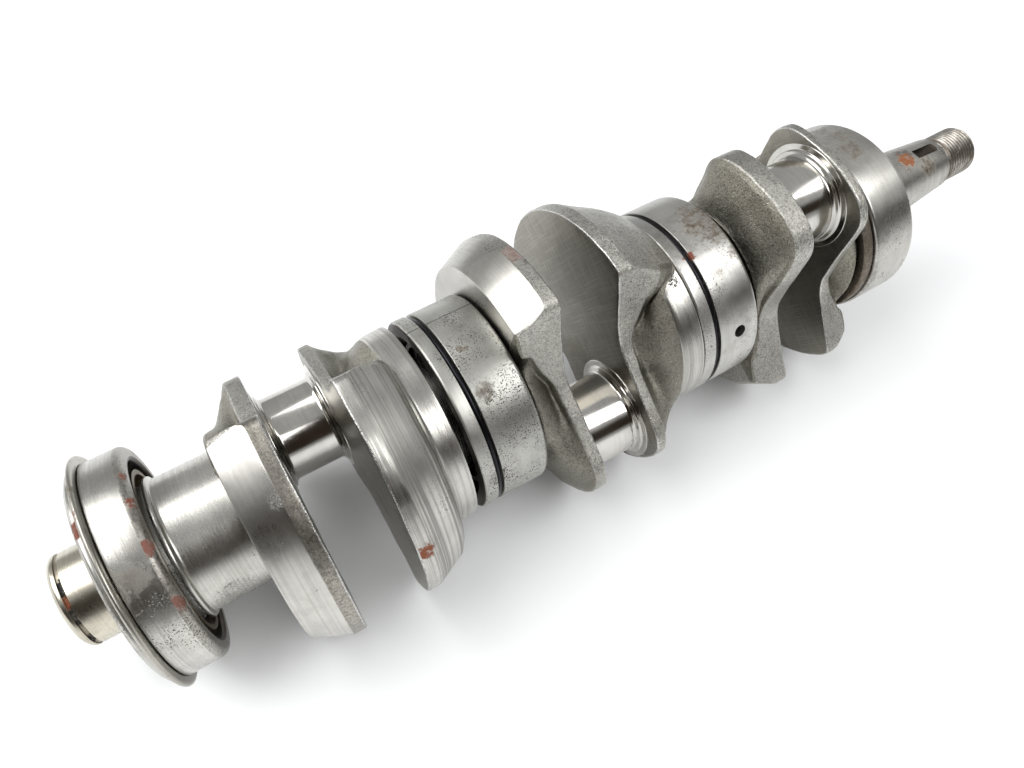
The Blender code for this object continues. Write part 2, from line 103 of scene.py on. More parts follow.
def add_mesh(name, verts, faces, materials, slots, node, stands_for=True, sharp=32.0):
    """Make a visible piece in millimetres that rides with a CAD node."""
    mesh = bpy.data.meshes.new(name)
    mesh.from_pydata((np.asarray(verts) * MM).tolist(), [], faces)
    for material in materials:
        mesh.materials.append(material)
    mesh.polygons.foreach_set("material_index", np.asarray(slots, dtype=np.int32))
    mesh.validate()
    mesh.shade_smooth()
    mesh.set_sharp_from_angle(angle=math.radians(sharp))
    obj = bpy.data.objects.new(name, mesh)
    bpy.context.scene.collection.objects.link(obj)
    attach(obj, node_body(node))
    if stands_for:
        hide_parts(node)
    return obj


CORNER_STEPS = 4                    # spans along each rounded corner


def rounded(points, setbacks, steps=CORNER_STEPS):
    """Round the corners of polylines; points is (rows, corners, 2).

    Every row gets the same number of points, so that rows can be joined.
    """
    points = np.asarray(points, dtype=float)
    columns = []
    last = points.shape[1] - 1
    for index in range(last + 1):
        here = points[:, index]
        setback = setbacks[index]
        if index in (0, last) or np.max(setback) <= 0.0:
            columns.append(here)
            continue
        before = points[:, index - 1] - here
        after = points[:, index + 1] - here
        before_len = np.linalg.norm(before, axis=1, keepdims=True) + 1e-9
        after_len = np.linalg.norm(after, axis=1, keepdims=True) + 1e-9
        start = here + before * np.minimum(setback / before_len, 0.45)
        end = here + after * np.minimum(setback / after_len, 0.45)
        for step in range(steps + 1):
            t = step / steps
            columns.append((1 - t) ** 2 * start + 2 * t * (1 - t) * here + t * t * end)
    return np.stack(columns, axis=1)


def refined(columns, spans):
    """Split the span after each listed column into equal parts; spans is {column: parts}.

    Also gives, for every new column, the index of the old column it comes from.
    """
    out = []
    source = []
    for index in range(columns.shape[1]):
        parts = spans.get(index, 1) if index < columns.shape[1] - 1 else 1
        for part in range(parts):
            t = part / parts
            following = columns[:, index + 1] if part else columns[:, index]
            out.append(columns[:, index] * (1 - t) + following * t)
            source.append(index)
    return np.stack(out, axis=1), source


def grid_faces(rows, columns, wrap_rows):
    """Quads of a grid of vertices, with the last row joined to the first if wrap_rows."""
    faces = []
    for row in range(rows if wrap_rows else rows - 1):
        following = (row + 1) % rows
        for column in range(columns - 1):
            faces.append((row * columns + column, row * columns + column + 1,
                          following * columns + column + 1, following * columns + column))
    return faces


def lathe(name, profile, setbacks, band_slots, materials, node, segments=128,
          axis=(0.0, 0.0), stands_for=True, closed=False, sharp=32.0):
    """Turn a (x, radius) profile with rounded corners; band_slots gives each span's material."""
    points = list(profile) + ([profile[0]] if closed else [])
    setbacks = list(setbacks) + [0.0] * (len(points) - len(setbacks))
    columns = rounded(np.array([points]), setbacks)[0]
    corner_of = []
    for index, setback in enumerate(setbacks):
        plain = index in (0, len(points) - 1) or setback <= 0.0
        corner_of += [index] * (1 if plain else CORNER_STEPS + 1)
    angles = np.linspace(0.0, 2.0 * math.pi, segments, endpoint=False)
    verts = np.zeros((segments, len(columns), 3))
    verts[:, :, 0] = columns[:, 0]
    verts[:, :, 1] = axis[0] + np.cos(angles)[:, None] * columns[:, 1]
    verts[:, :, 2] = axis[1] + np.sin(angles)[:, None] * columns[:, 1]
    faces = grid_faces(segments, len(columns), True)
    bands = [band_slots[min(corner, len(band_slots) - 1)] for corner in corner_of[:-1]]
    return add_mesh(name, verts.reshape(-1, 3), faces, materials, bands * segments, node,
                    stands_for, sharp)


def subtract(obj, cutter, material_mode="INDEX"):
    """Cut a closed mesh out of an object's mesh, and delete the cutter."""
    modifier = obj.modifiers.new("cut", "BOOLEAN")
    modifier.material_mode = material_mode
    modifier.operation = "DIFFERENCE"
    modifier.solver = "EXACT"
    modifier.object = cutter
    graph = bpy.context.evaluated_depsgraph_get()
    obj.data = bpy.data.meshes.new_from_object(obj.evaluated_get(graph))
    obj.modifiers.clear()
    bpy.data.objects.remove(cutter, do_unlink=True)


# --- Materials ---

class Graph:
    """Adds and joins the nodes of one shader tree."""

    def __init__(self, tree):
        self.nodes = tree.nodes
        self.links = tree.links

    def feed(self, socket, value):
        if isinstance(value, bpy.types.NodeSocket):
            self.links.new(value, socket)
        else:
            socket.default_value = value

    def math(self, operation, first, second=0.0, clamp=False):
        node = self.nodes.new("ShaderNodeMath")
        node.operation = operation
        node.use_clamp = clamp
        self.feed(node.inputs[0], first)
        self.feed(node.inputs[1], second)
        return node.outputs[0]

    def window(self, value, low, high):
        """Smooth 0 to 1 as value goes from low to high."""
        node = self.nodes.new("ShaderNodeMapRange")
        node.interpolation_type = "SMOOTHSTEP"
        self.feed(node.inputs["Value"], value)
        node.inputs["From Min"].default_value = low
        node.inputs["From Max"].default_value = high
        return node.outputs["Result"]

    def mix(self, factor, first, second):
        """Blend two colors, each a socket or red, green and blue."""
        node = self.nodes.new("ShaderNodeMix")
        node.data_type = "RGBA"
        self.feed(node.inputs["Factor"], factor)
        for socket, color in ((node.inputs[6], first), (node.inputs[7], second)):
            self.feed(socket, color if isinstance(color, bpy.types.NodeSocket) else (*color, 1.0))
        return node.outputs[2]


class Shader(Graph):
    """A material, with its patterns laid out in the object's own coordinates."""

    def __init__(self, name):
        self.material = bpy.data.materials.new(name)
        self.material.use_nodes = True
        super().__init__(self.material.node_tree)
        self.bsdf = self.nodes["Principled BSDF"]
        self.place = self.nodes.new("ShaderNodeTexCoord").outputs["Object"]

    def stretch(self, scale, turn=0.0):
        """Coordinates turned round X by some degrees, then scaled along each axis."""
        node = self.nodes.new("ShaderNodeMapping")
        node.vector_type = "TEXTURE"
        node.inputs["Scale"].default_value = [1.0 / v for v in scale]
        node.inputs["Rotation"].default_value = (math.radians(turn), 0.0, 0.0)
        self.feed(node.inputs["Vector"], self.place)
        return node.outputs[0]

    def noise(self, scale, detail=4.0, rough=0.55, vector=None):
        node = self.nodes.new("ShaderNodeTexNoise")
        node.inputs["Scale"].default_value = scale
        node.inputs["Detail"].default_value = detail
        node.inputs["Roughness"].default_value = rough
        self.feed(node.inputs["Vector"], vector or self.place)
        return node.outputs["Fac"]

    def near(self, point, radius):
        """1 at a point of the object, given in millimetres, falling to 0 at the radius."""
        node = self.nodes.new("ShaderNodeVectorMath")
        node.operation = "DISTANCE"
        self.feed(node.inputs[0], self.place)
        node.inputs[1].default_value = [c * MM for c in point]
        return self.window(node.outputs["Value"], radius * MM, 0.2 * radius * MM)

    def bump(self, height, distance, strength=1.0, below=None):
        node = self.nodes.new("ShaderNodeBump")
        node.inputs["Distance"].default_value = distance * MM
        node.inputs["Strength"].default_value = strength
        self.feed(node.inputs["Height"], height)
        if below is not None:
            self.links.new(below, node.inputs["Normal"])
        return node.outputs["Normal"]

    def done(self, color, roughness, normal, metallic=1.0):
        self.feed(self.bsdf.inputs["Base Color"], color)
        self.feed(self.bsdf.inputs["Roughness"], roughness)
        self.feed(self.bsdf.inputs["Metallic"], metallic)
        if normal is not None:
            self.links.new(normal, self.bsdf.inputs["Normal"])
        return self.material


RUST = (0.20, 0.055, 0.018)
STAIN = (0.095, 0.068, 0.038)
PIT = (0.035, 0.028, 0.024)
SOOT = (0.020, 0.018, 0.016)

# Noise scales, in features per metre
CLOUD_SCALE = 38.0
SKIN_SCALE = 1900.0
GRAIN_SCALES = (1900.0, 850.0)
STAIN_SCALE = 30.0
PIT_SCALE = 2300.0
PITTED_AREA_SCALE = 44.0
HATCH_SCALES = (2400.0, 2100.0)
HATCH_TURNS = (38.0, -52.0)

# Noise scale of a spot's ragged edge, the level it starts at, and its softness
SPOT_EDGES = {PIT: (1500.0, 0.50, 0.05), STAIN: (420.0, 0.30, 0.34)}
RUST_EDGE = (480.0, 0.36, 0.12)


class Steel(Shader):
    """Steel whose machining and wear are laid on one after another."""

    def __init__(self, name, base, roughness):
        super().__init__(name)
        self.base = base
        cloud = self.noise(CLOUD_SCALE, 6.0, 0.6)
        fine = self.noise(SKIN_SCALE, 3.0)
        self.color = self.mix(self.window(cloud, 0.36, 0.66), self.shade(0.74), base)
        self.rough = self.math("ADD", self.math("MULTIPLY", cloud, 0.20), roughness - 0.10)
        self.metal = 1.0
        self.normal = self.bump(fine, 0.014, 0.5)

    def shade(self, factor):
        return tuple(min(1.0, c * factor) for c in self.base)

    def paint(self, mask, color):
        self.color = self.mix(mask, self.color, color)

    def roughen(self, mask, amount):
        self.rough = self.math("ADD", self.rough, self.math("MULTIPLY", mask, amount))

    def dull(self, mask, amount):
        bare = self.math("SUBTRACT", 1.0, self.math("MULTIPLY", mask, amount))
        self.metal = self.math("MULTIPLY", self.metal, bare)

    def turned_lines(self, amount, scale):
        """Fine and broad rings round X, as a lathe or a grinding wheel leaves them."""
        rings = self.noise(1.0, 3.0, 0.7, self.stretch((scale, 14.0, 14.0)))
        broad = self.noise(1.0, 2.0, 0.6, self.stretch((scale * 0.3, 9.0, 9.0)))
        both = self.math("ADD", self.math("MULTIPLY", rings, 0.6),
                         self.math("MULTIPLY", broad, 0.6))
        self.normal = self.bump(both, 0.07 * amount, 0.6, self.normal)
        dark = self.window(both, 0.53, 0.70)
        self.paint(self.math("MULTIPLY", dark, min(1.0, 0.80 * amount)), self.shade(0.36))
        self.roughen(dark, 0.12 * amount)

    def cross_hatch(self, amount):
        """Two sets of straight scratches across a face that is square to X."""
        one, two = (self.noise(1.0, 2.0, 0.6, self.stretch((40.0, scale, 60.0), turn))
                    for scale, turn in zip(HATCH_SCALES, HATCH_TURNS))
        cross = self.math("MAXIMUM", one, two)
        self.normal = self.bump(cross, 0.08 * amount, 0.7, self.normal)
        scratch = self.window(cross, 0.50, 0.68)
        self.paint(self.math("MULTIPLY", scratch, 0.42 * amount), self.shade(1.6))

    def cast_grain(self, amount):
        """Sandy skin of a forging, dark in its hollows and with small painted glints."""
        lumps = self.noise(GRAIN_SCALES[0], 4.0, 0.6)
        chunk = self.noise(GRAIN_SCALES[1], 2.0, 0.5)
        height = self.math("ADD", self.math("MULTIPLY", lumps, 0.72),
                           self.math("MULTIPLY", chunk, 0.28))
        self.normal = self.bump(height, 0.42 * amount, 0.85, self.normal)
        self.color = self.mix(self.window(height, 0.40, 0.54), self.shade(0.48), self.color)
        # Painted highlight: lighter colour on the grain's peaks stands in for glints.
        painted_glint = self.window(lumps, 0.60, 0.70)
        self.paint(self.math("MULTIPLY", painted_glint, 0.5), self.shade(1.7))

    def stains(self, amount):
        """Broad brown patches."""
        patch = self.window(self.noise(STAIN_SCALE, 8.0, 0.72), 0.53, 0.66)
        brown = self.math("MULTIPLY", patch, 0.75 * amount)
        self.paint(brown, STAIN)
        self.roughen(brown, 0.2)

    def pits(self, amount):
        """Small dark holes, crowded in some areas."""
        dots = self.window(self.noise(PIT_SCALE, 2.0, 0.4), 0.64 - 0.05 * amount,
                           0.68 - 0.05 * amount)
        where = self.window(self.noise(PITTED_AREA_SCALE, 5.0, 0.7), 0.64 - 0.18 * amount,
                            0.74 - 0.14 * amount)
        mask = self.math("MULTIPLY", dots, where)
        self.paint(mask, PIT)
        self.normal = self.bump(self.math("SUBTRACT", 1.0, mask), 0.06, 0.6, self.normal)
        self.roughen(mask, 0.35)
        self.dull(mask, 0.8)

    def spot(self, point, radius, tint, amount):
        """One ragged spot of rust, stain, soot or crowded pits."""
        scale, threshold, soft = SPOT_EDGES.get(tint, RUST_EDGE)
        away = self.math("SUBTRACT", 1.0, self.near(point, 1.25 * radius))
        ragged = self.math("SUBTRACT", self.noise(scale, 9.0, 0.78),
                           self.math("MULTIPLY", away, 0.34))
        mask = self.math("MULTIPLY", self.window(ragged, threshold, threshold + soft),
                         amount, True)
        self.paint(mask, tint)
        self.roughen(mask, 0.4)
        self.dull(mask, 0.35 if tint is STAIN else 0.85)
        self.normal = self.bump(mask, 0.10, 0.5, self.normal)


def on_shaft(x, radius, angle):
    """Point on a cylinder round the crank axis."""
    turn = math.radians(angle)
    return (x, radius * math.cos(turn), radius * math.sin(turn))


def worn_steel(name, base, roughness, lines=0.0, line_scale=2600.0, hatch=0.0, grain=0.0,
               stain=0.0, pits=0.0, spots=()):
    """Steel with each kind of wear by amount; a spot is X, radius, angle, size, tint, amount."""
    steel = Steel(name, base, roughness)
    if lines > 0.0:
        steel.turned_lines(lines, line_scale)
    for amount, layer in ((hatch, steel.cross_hatch), (grain, steel.cast_grain),
                          (stain, steel.stains), (pits, steel.pits)):
        if amount > 0.0:
            layer(amount)
    for x, radius, angle, size, tint, amount in spots:
        steel.spot(on_shaft(x, radius, angle), size, tint, amount)
    return steel.done(steel.color, steel.rough, steel.normal, steel.metal)


LIGHT = (0.605, 0.59, 0.55)
RED_RUST = (0.17, 0.05, 0.03)
ORANGE_RUST = (0.24, 0.085, 0.03)
GRINDING = 5200.0                   # line scale of a ground surface

FORGED = worn_steel("forged_skin", (0.335, 0.318, 0.268), 0.37, grain=1.0, stain=0.15)
LAND_SKIN = worn_steel(
    "forged_land", (0.55, 0.535, 0.49), 0.33, grain=1.0, stain=0.35, pits=0.7,
    spots=((184.0, 50.0, 111.0, 6.0, RED_RUST, 0.6), (162.0, 50.0, 80.0, 7.0, RED_RUST, 0.5)))
# Web 1's land: a brownish, stained ground surface, with its darker base partly a painted reflection
# of the room's dark band.
WORN_LAND_AND_REFLECTION = worn_steel("worn_land_and_painted_reflection", (0.40, 0.375, 0.33), 0.31, lines=0.25, grain=0.12,
                       stain=0.8, pits=0.9)
TURNED = worn_steel(
    "turned_weight", LIGHT, 0.28, lines=0.28, line_scale=3600.0, stain=0.3, pits=0.35,
    spots=((66.0, 50.0, 124.0, 5.0, PIT, 0.8), (158.0, 50.0, 70.0, 6.0, PIT, 1.2),
           (142.0, 43.0, 68.0, 3.0, PIT, 1.5)))
COARSE_TURNED = worn_steel(
    "coarse_turned_weight", LIGHT, 0.29, lines=1.0, line_scale=2900.0, stain=0.25, pits=0.5,
    spots=((95.6, 49.5, 165.6, 4.5, RUST, 1.0),))
GROUND = worn_steel("ground_cheek", (0.27, 0.255, 0.22), 0.35, hatch=1.0, stain=0.3)
EDGE = worn_steel("bright_edge", (0.62, 0.61, 0.58), 0.27, grain=0.6, pits=0.4)
JOURNAL = worn_steel(
    "ground_journal", LIGHT, 0.25, lines=0.35, line_scale=GRINDING, stain=0.15, pits=0.3,
    spots=((44.0, 22.8, 183.0, 14.0, PIT, 0.5),))
PIN_STEEL = worn_steel("polished_pin", (0.64, 0.62, 0.58), 0.12, lines=0.12,
                       line_scale=GRINDING, pits=0.15)
DISC_STEEL = worn_steel(
    "turned_disc", LIGHT, 0.26, lines=0.7, pits=0.35,
    spots=((207.9, 35.0, 116.5, 5.0, PIT, 1.8), (96.5, 49.5, 165.6, 5.0, RUST, 1.2)))
STUB_STEEL = worn_steel("stub_steel", (0.64, 0.60, 0.50), 0.24, lines=0.25,
                        line_scale=GRINDING, stain=0.35)
GROOVE_STEEL = worn_steel(
    "groove_steel", (0.42, 0.38, 0.30), 0.35, stain=0.8,
    spots=((3.0, 14.5, 122.0, 4.0, RUST, 1.0), (3.0, 14.5, 141.0, 5.0, SOOT, 1.0),
           (3.0, 14.5, 103.0, 4.5, SOOT, 1.0), (3.0, 14.5, 178.0, 4.5, SOOT, 1.0)))
# Tail: darker base and heavy stain, partly brown dirt and partly a painted dark reflection; the
# patch round 350 mm darkens a band of the taper.
TAIL_STEEL = worn_steel(
    "tail_steel", (0.52, 0.50, 0.46), 0.31, lines=0.4, stain=1.0, pits=0.8,
    spots=((343.5, 12.7, 86.0, 6.5, SOOT, 0.8), (341.5, 12.9, 100.0, 6.5, ORANGE_RUST, 1.0),
           (350.0, 12.0, 128.0, 7.0, STAIN, 1.0), (362.0, 11.0, 110.0, 7.0, PIT, 1.2)))
RACE_STEEL = worn_steel(
    "race_steel", (0.52, 0.515, 0.48), 0.38, lines=0.15, line_scale=GRINDING, stain=0.5,
    pits=1.3,
    spots=((134.4, 35.0, 98.5, 3.0, STAIN, 0.8), (134.0, 35.0, 124.0, 5.0, STAIN, 0.8),
           (137.0, 35.0, 76.0, 9.0, PIT, 1.2), (129.0, 35.0, 172.0, 9.0, PIT, 1.0)))
STAINED_RACE_STEEL = worn_steel(
    "stained_race_steel", (0.58, 0.57, 0.54), 0.31, lines=0.2, line_scale=GRINDING, stain=0.6,
    pits=0.8,
    spots=((231.8, 35.0, 92.0, 16.0, STAIN, 1.0), (236.0, 35.0, 118.0, 6.0, STAIN, 0.6),
           (218.1, 35.0, 108.8, 3.5, RED_RUST, 1.0)))
LOWER_STEEL = worn_steel(
    "lower_race_steel", LIGHT, 0.27, lines=0.4, line_scale=4200.0, stain=0.4, pits=0.9,
    spots=((25.0, 36.0, 126.0, 7.0, STAIN, 0.5), (17.0, 35.5, 95.0, 5.0, RED_RUST, 1.0),
           (17.0, 35.5, 130.0, 9.0, STAIN, 0.5)))
RIM_STEEL = worn_steel(
    "worn_rim", (0.46, 0.44, 0.40), 0.36, grain=0.4, stain=0.6, pits=0.9,
    spots=((34.1, 35.8, 76.8, 4.0, RED_RUST, 1.0), (33.1, 35.8, 94.5, 3.5, RED_RUST, 1.0),
           (32.0, 35.8, 117.0, 4.0, RED_RUST, 0.9), (32.0, 35.8, 145.0, 4.0, RED_RUST, 0.8)))
LOCATING_STEEL = worn_steel(
    "locating_ring_steel", (0.48, 0.46, 0.41), 0.31, lines=0.2, stain=0.9, pits=0.7,
    spots=((17.0, 38.6, 92.0, 4.0, RED_RUST, 0.8), (17.0, 38.6, 78.0, 5.0, STAIN, 0.9)))
UPPER_STEEL = worn_steel(
    "upper_race_steel", LIGHT, 0.28, lines=0.2, line_scale=GRINDING, stain=0.8, pits=0.9,
    spots=((300.7, 35.0, 93.0, 9.0, STAIN, 0.8), (306.0, 35.0, 78.0, 8.0, STAIN, 0.6)))
BLACK_STEEL = worn_steel("blacked_steel", (0.030, 0.030, 0.034), 0.28, lines=0.2)
# Painted shade: near-black steel on faces that lie in shadow (hub faces beside the races, race side
# and break faces, the keyway, the lower race's bore, the centre rollers).
SHADE_PAINTED_STEEL = worn_steel("painted_shade_steel", (0.10, 0.085, 0.07), 0.40, grain=0.3, stain=0.5)
DULL_STEEL = worn_steel("dull_ring_steel", (0.30, 0.26, 0.22), 0.42, grain=0.5, stain=0.8)
BALL_STEEL = worn_steel("ball_steel", (0.70, 0.70, 0.68), 0.12)
BRONZE = worn_steel("cage_bronze_worn", (0.16, 0.115, 0.055), 0.42, grain=0.4, stain=0.6)
# Painted shade: near-black bronze for the centre cages, which sit in the shadowed gap beside their
# races.
SHADE_PAINTED_BRONZE = worn_steel("painted_shade_cage_bronze", (0.055, 0.042, 0.026), 0.38, grain=0.3)


# --- Webs ---

OUTLINE_STEP = 1.6                  # between stations round a web's outline
ARC_STEP = 6.0


def on_circle(radius, angles):
    return [(radius * math.cos(math.radians(a)), radius * math.sin(math.radians(a)))
            for a in angles]


def web_outline():
    """Closed outline of a web seen along the axis, the crankpin towards +u."""
    waist = [(38.5, TONGUE_HALF_WIDTH - 0.2), (14.0, TONGUE_HALF_WIDTH),
             (2.0, TONGUE_HALF_WIDTH + 0.6)]
    arc = on_circle(WEIGHT_RADIUS, np.arange(SHOULDER_ANGLE, 181.0, ARC_STEP))
    upper = on_circle(TONGUE_RADIUS, (0.0, 8.0, 16.0, 24.0)) + waist + arc
    setbacks = [0.0, 1.0, 1.0, 3.0, 4.0, 5.0, 9.0, 2.5] + [1.0] * (len(arc) - 1)
    half = rounded(np.array([upper]), setbacks, 6)[0]
    loop = np.vstack([half, half[-2:0:-1] * (1.0, -1.0)])
    closed = np.vstack([loop, loop[:1]])
    lengths = np.r_[0.0, np.cumsum(np.linalg.norm(np.diff(closed, axis=0), axis=1))]
    count = int(lengths[-1] / OUTLINE_STEP) // 2 * 2
    at = np.linspace(0.0, lengths[-1], count, endpoint=False)
    return np.stack([np.interp(at, lengths, closed[:, i]) for i in (0, 1)], axis=1)


def smoothstep(value, low, high):
    """Smooth 0 to 1 as value goes from low to high, or back down if high is the lower."""
    t = np.clip((value - low) / (high - low), 0.0, 1.0)
    return t * t * (3.0 - 2.0 * t)


def lerp(first, second, amount):
    return first + (second - first) * amount


def plain_sections(radius, angle, size):
    """Control points of a web without a disc, one row for each outline station."""
    depth, boss_depth, boss, journal, band = size
    scale = depth / WEIGHT_DEPTH
    wall = np.interp(angle, (0, 40, 80, 97, 113),
                     (band, band, band + 0.4, 9.0 * scale, 15.0 * scale))
    groove = np.interp(angle, (0, 20, 45, 84, 102), (1.2, 1.8, 2.4, 2.4, 0.4)) * scale
    weight = smoothstep(angle, 102.0, SHOULDER_ANGLE)
    arc = smoothstep(angle, SHOULDER_ANGLE - 1.5, SHOULDER_ANGLE + 0.5)
    cone = LAND + (WEIGHT_RADIUS - radius) / (WEIGHT_RADIUS - CONE_FOOT) * (depth - LAND)
    near_weight = angle > 104.0
    rim = np.where(near_weight, np.minimum(np.maximum(wall, LAND), np.maximum(cone, LAND)), wall)
    rim = lerp(rim, np.clip(cone, LAND, depth - 0.4), arc)
    top_r = np.where(near_weight, np.minimum(radius - 0.4, CONE_FOOT), radius - 0.9)
    lift = np.where(near_weight, np.maximum(arc, smoothstep(angle, 95, 108)), 0.0)
    top_t = lerp(wall + 0.6 * scale, depth, lift)

    def level(low):
        return lerp(low, depth, weight)

    def across(low, share):
        high = CONE_FOOT + (boss - CONE_FOOT) * share
        return lerp(low, np.minimum(high, top_r - share), weight)

    flat = radius * 0.0
    rise = boss_depth - wall
    bed = radius - 1.0 - groove
    rows = [
        (flat, flat), (radius, flat), (radius, rim), (top_r, top_t),
        (across(bed, 0.2), level(wall + 1.5 * scale)),
        (across(lerp(bed + 0.6 * groove, boss, 0.5), 0.55), level(wall + 0.5 * rise)),
        (across(flat + boss, 0.97), level(wall + 0.86 * rise)),
        (lerp(flat + boss - 1.0, np.minimum(boss, top_r - 1.5), weight), level(boss_depth)),
        (flat + journal + 0.4, level(boss_depth)),
        (flat + journal - 0.5, flat + max(boss_depth, depth) + 1.0),
    ]
    return np.stack([np.stack(row, axis=1) for row in rows], axis=1)


def disc_sections(radius, angle, machined):
    """Control points of a web that carries a turned disc on its outer side."""
    wall = np.interp(angle, (0, 30, 60, 84, 95, 113), (3.6, 3.6, 3.8, 5.0, 8.0, 14.0))
    weight = smoothstep(angle, 98.0, SHOULDER_ANGLE)
    arc = smoothstep(angle, SHOULDER_ANGLE - 1.5, SHOULDER_ANGLE + 0.5)
    foot_r, foot_t = (44.9, 15.3) if machined else (43.4, 17.4)
    cone = LAND + (WEIGHT_RADIUS - radius) / (WEIGHT_RADIUS - foot_r) * (foot_t - LAND)
    near_weight = angle > 104.0
    rim = np.where(near_weight, np.minimum(np.maximum(wall, LAND), np.maximum(cone, LAND)), wall)
    rim = lerp(rim, np.clip(cone, LAND, foot_t - 0.3), arc)
    ridge = np.clip(radius - 5.5, 25.6, 41.0)
    bed = np.clip(radius - 2.4, 23.0, 45.5)
    if machined:
        outer = ((42.2, 17.1), (37.6, 18.5), (35.6, 18.9), (DISC_RADIUS, 19.6))
    else:
        outer = ((40.8, 21.6), (38.6, 24.2), (36.6, 25.5), (35.4, 26.0))
    flat = radius * 0.0
    high = np.where(near_weight, np.maximum(arc, smoothstep(angle, 97, 109)), 0.0)
    rows = [
        (flat, flat), (radius, flat), (radius, rim),
        (lerp(radius - 0.8, np.minimum(radius - 0.4, foot_r), high),
         lerp(wall + 0.5, foot_t, high)),
        (lerp(bed, outer[0][0], weight), lerp(wall + 1.3, outer[0][1], weight)),
        (lerp(ridge, outer[1][0], weight), lerp(wall + 4.4, outer[1][1], weight)),
        (lerp(lerp(ridge, DISC_RADIUS, 0.62), outer[2][0], weight),
         lerp(flat + 13.0, outer[2][1], weight)),
        (lerp(flat + DISC_RADIUS - 0.3, outer[3][0], weight),
         lerp(flat + 18.6, outer[3][1], weight)),
        (flat + DISC_RADIUS, flat + DISC_DEPTH), (flat + MAIN_RADIUS - 0.5, flat + DISC_DEPTH),
    ]
    return np.stack([np.stack(row, axis=1) for row in rows], axis=1)


PLAIN_SIZES = {                     # depth, boss depth, boss radius, journal radius, rim band
    1: (WEIGHT_DEPTH, 18.0, 28.4, LOWER_JOURNAL, 5.4),
    3: (WEIGHT_DEPTH, 15.2, 29.4, MAIN_RADIUS, 4.2),
    5: (WEIGHT_DEPTH, 15.2, 29.4, MAIN_RADIUS, 7.6),
    6: (LAST_DEPTH, 9.6, 32.0, MAIN_RADIUS, 3.2),
}
MACHINED_WEBS = (1, 2, 3)           # their counterweights are turned, not left as forged

# Roundness of a section's ten corners, from the cheek round the rim to the journal
FORGED_SETBACKS = (0.0, 0.6, 0.5, 1.3, 2.0, 2.5, 2.5, 1.2, 0.5, 0.0)
TURNED_SETBACKS = (0.0, 0.6, 0.25, 0.35, 0.5, 0.5, 0.5, 0.5, 0.4, 0.0)
CORNER_OF_COLUMN = [0] + [c for c in range(1, 9) for _ in range(CORNER_STEPS + 1)] + [9]
WEB_SPANS = {0: 12, 5: 4, 10: 5, 15: 4, 20: 4, 25: 4, 30: 4, 35: 3, 40: 4}
EDGE_COLUMNS = range(1, 5)          # the rounded edge between cheek and rim

(FORGED_SLOT, TURNED_SLOT, GROUND_SLOT, EDGE_SLOT,
 LAND_SLOT, DISC_SLOT, SHADE_PAINTED_SLOT, WORN_AND_REFLECTION_SLOT) = range(8)
# Web 1's land is partly a painted dark reflection.
LAND_SLOTS = {1: WORN_AND_REFLECTION_SLOT, 2: DISC_SLOT}

# Cast unevenness, as how far it moves the skin and how fast it changes along it
COARSE_WAVE = (0.45, 0.09)
FINE_WAVE = (0.16, 0.42)


def web_slot(number, source, angle):
    """Material slot of the faces after a section's column, at an angle from the crankpin."""
    corner = CORNER_OF_COLUMN[source]
    on_weight = angle > SHOULDER_ANGLE - 0.6
    machined = number in MACHINED_WEBS
    if source in EDGE_COLUMNS:
        return EDGE_SLOT
    if corner == 0:
        return GROUND_SLOT
    if corner == 1 and on_weight:
        return LAND_SLOTS.get(number, LAND_SLOT)
    if corner == 2 and on_weight and machined:
        return TURNED_SLOT
    if corner <= 2:
        return LAND_SLOT
    if corner >= 7 and number not in PLAIN_SIZES:
        return DISC_SLOT
    # Painted shade: the hub faces of forged webs, in the dark gap beside a race, take the
    # near-black steel.
    if corner >= 7 and not machined:
        return SHADE_PAINTED_SLOT
    if not on_weight:
        return FORGED_SLOT
    return TURNED_SLOT if machined else LAND_SLOT


def web_unevenness(number, corner, angle, columns):
    """Share of cast unevenness at each point; none where a bearing's race comes close."""
    on_weight = angle > SHOULDER_ANGLE - 0.6
    skin = np.where(on_weight & (number in MACHINED_WEBS), 0.0, 1.0)[:, None]
    share = np.where((corner >= 2) & (corner <= 6), skin, np.where(corner == 1, 0.5, 0.0))
    if number in PLAIN_SIZES:
        face = PLAIN_SIZES[number][0]
        outside = smoothstep(columns[:, :, 0], 35.0, 38.0)
        below = smoothstep(columns[:, :, 1], face - 0.7, face - 2.5)
        share = share * np.maximum(outside, below)
    return share


def uneven(verts, share):
    """Move vertices by smooth noise so that a forged skin isn't flat."""
    out = verts.copy()
    for place in zip(*np.nonzero(share > 0.0)):
        point = Vector(verts[place])
        for size, rate in (COARSE_WAVE, FINE_WAVE):
            out[place] += share[place] * size * np.array(noise.noise_vector(point * rate))
    return out


